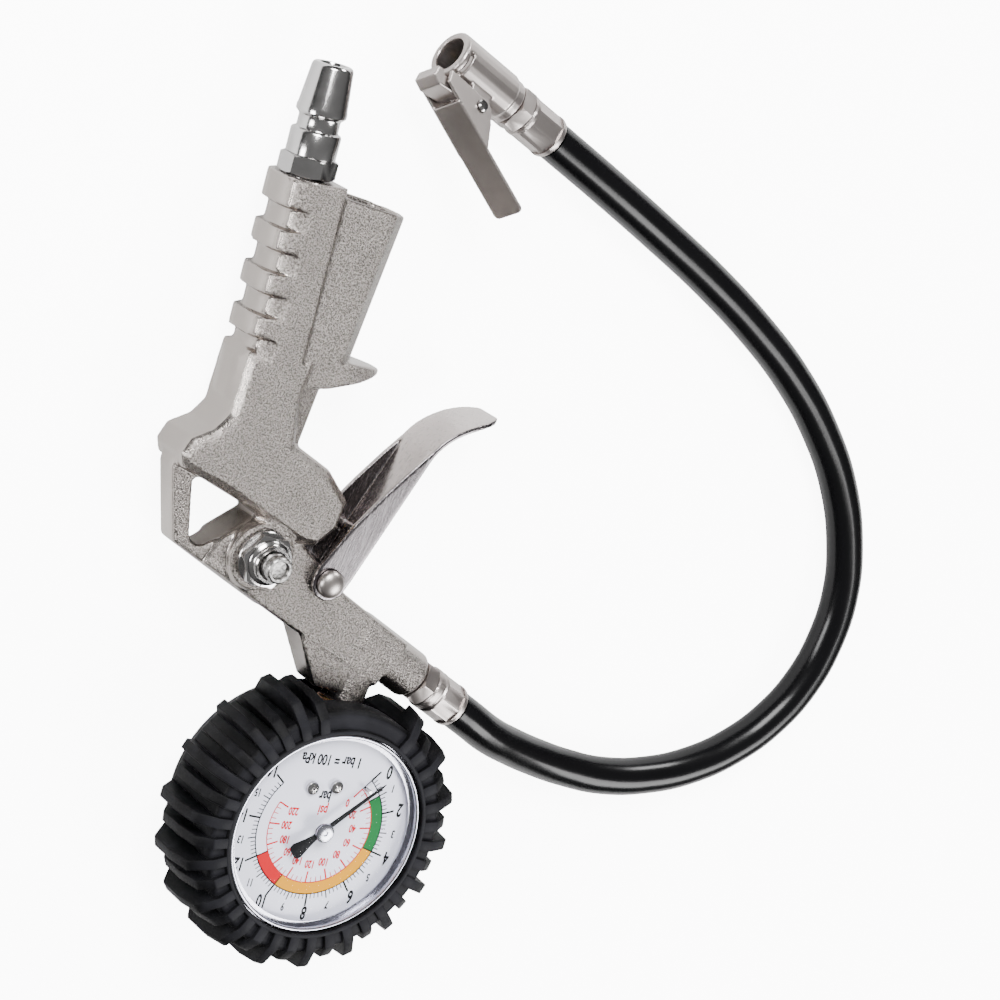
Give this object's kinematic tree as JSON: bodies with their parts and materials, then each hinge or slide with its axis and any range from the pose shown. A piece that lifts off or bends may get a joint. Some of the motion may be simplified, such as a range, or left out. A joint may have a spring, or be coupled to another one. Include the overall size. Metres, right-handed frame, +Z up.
{
  "type": "tyre inflator with gauge",
  "caption": "Pistol-grip tyre inflator: trigger valve, bleed button, dial gauge in a rubber boot, and a free hose with a clip-on chuck",
  "frame": {"origin": "centre of the tool's footprint on the surface it lies on, without the hose and the chuck", "axes": "+Z up, the way the dial faces; +Y from the gauge to the air inlet; +X towards the hose loop"},
  "size_m": [0.2569, 0.2667, 0.0347],
  "materials": {
    "nickel_casting": "nickel-plated die-cast zinc, sand-textured faces and smooth rims",
    "chrome": "polished chrome plate",
    "nickel_steel": "polished nickel-plated sheet steel with fine scratches",
    "satin_nickel": "satin nickel plate",
    "brass": "machined brass",
    "copper": "soft copper",
    "spring_steel": "bright spring wire",
    "case_steel": "black enamel on sheet steel",
    "boot_rubber": "matt moulded rubber",
    "hose_rubber": "glossy extruded rubber with a faint lengthwise seam",
    "seal_rubber": "smooth nitrile rubber",
    "dial_white": "white enamel with printed scales",
    "pointer_black": "satin black paint",
    "lens_clear": "clear moulded lens"
  },
  "bodies": {
    "tool": {"body_casting": "nickel_casting", "inlet_nipple": "chrome", "gauge_case": "case_steel", "gauge_stem": "brass", "gauge_port_washer": "copper", "bourdon_tube": "brass", "movement_frame": "brass", "hairspring": "brass", "dial_plate": "dial_white", "dial_screw_1": "chrome", "dial_screw_2": "chrome", "zero_stop_pin": "chrome", "lens": "lens_clear", "lens_bezel": "chrome", "gauge_boot": "boot_rubber", "trigger_rivet": "chrome", "valve_seat": "brass", "valve_spring": "spring_steel", "stem_o_ring": "seal_rubber", "valve_guide_nut": "brass", "bleed_nut": "chrome", "bleed_spring": "spring_steel", "hose_barb_body": "chrome", "hose_ferrule_body": "satin_nickel", "hose": "hose_rubber", "chuck_body": "satin_nickel", "chuck_seal": "seal_rubber", "chuck_probe": "brass", "chuck_pivot_pin": "chrome", "chuck_spring": "spring_steel", "hose_barb_chuck": "chrome", "hose_ferrule_chuck": "satin_nickel"},
    "trigger": {"trigger_lever": "nickel_steel"},
    "valve_plunger": {"valve_stem": "spring_steel", "valve_seal": "seal_rubber"},
    "bleed_plunger": {"bleed_button": "chrome", "bleed_seal": "seal_rubber"},
    "pointer_arbor": {"pinion_shaft": "spring_steel", "pointer": "pointer_black", "pointer_cap": "chrome"},
    "sector": {"sector_gear": "brass"},
    "link": {"sector_link": "brass"},
    "chuck_jaw": {"chuck_lever": "satin_nickel", "chuck_claw": "satin_nickel"}
  },
  "joints": [
    {"name": "trigger_hinge", "type": "hinge", "parent": "tool", "child": "trigger", "pos_m": [-0.00335, -0.01204, 0.014], "axis": [0, 0, 1], "range_deg": [0, 10], "stiffness_Nm_per_rad": 0.6, "springref_deg": -20.05},
    {"name": "valve_slide", "type": "slide", "parent": "tool", "child": "valve_plunger", "axis": [-0.9659, 0.2588, 0], "range_m": [0, 0.00268], "deforming": ["valve_spring"]},
    {"name": "bleed_slide", "type": "slide", "parent": "tool", "child": "bleed_plunger", "axis": [0, 0, -1], "range_m": [0, 0.002], "stiffness_N_per_m": 1500, "springref_m": -0.002, "deforming": ["bleed_spring"]},
    {"name": "sector_turn", "type": "hinge", "parent": "tool", "child": "sector", "pos_m": [0.02005, -0.09124, 0.014], "axis": [0, 0, 1], "range_deg": [0, 26], "stiffness_Nm_per_rad": 0.02, "springref_deg": -1.15},
    {"name": "pointer_turn", "type": "hinge", "parent": "tool", "child": "pointer_arbor", "pos_m": [0.02005, -0.08024, 0.014], "axis": [0, 0, -1], "range_deg": [0, 260]},
    {"name": "link_turn", "type": "hinge", "parent": "sector", "child": "link", "pos_m": [0.01636, -0.08651, 0.014], "axis": [0, 0, -1], "range_deg": [0, 26]},
    {"name": "chuck_lever_hinge", "type": "hinge", "parent": "tool", "child": "chuck_jaw", "pos_m": [-0.01185, 0.12337, 0.01398], "axis": [0.1582, 0.5342, 0.8304], "range_deg": [0, 20], "stiffness_Nm_per_rad": 0.25, "springref_deg": -17.19, "deforming": ["chuck_spring"]}
  ],
  "couplings": [
    {"joint": "valve_slide", "follows": "trigger_hinge", "m_per_rad": 0.01526},
    {"joint": "pointer_turn", "follows": "sector_turn", "ratio": 10},
    {"joint": "link_turn", "follows": "sector_turn", "ratio": 1}
  ]
}
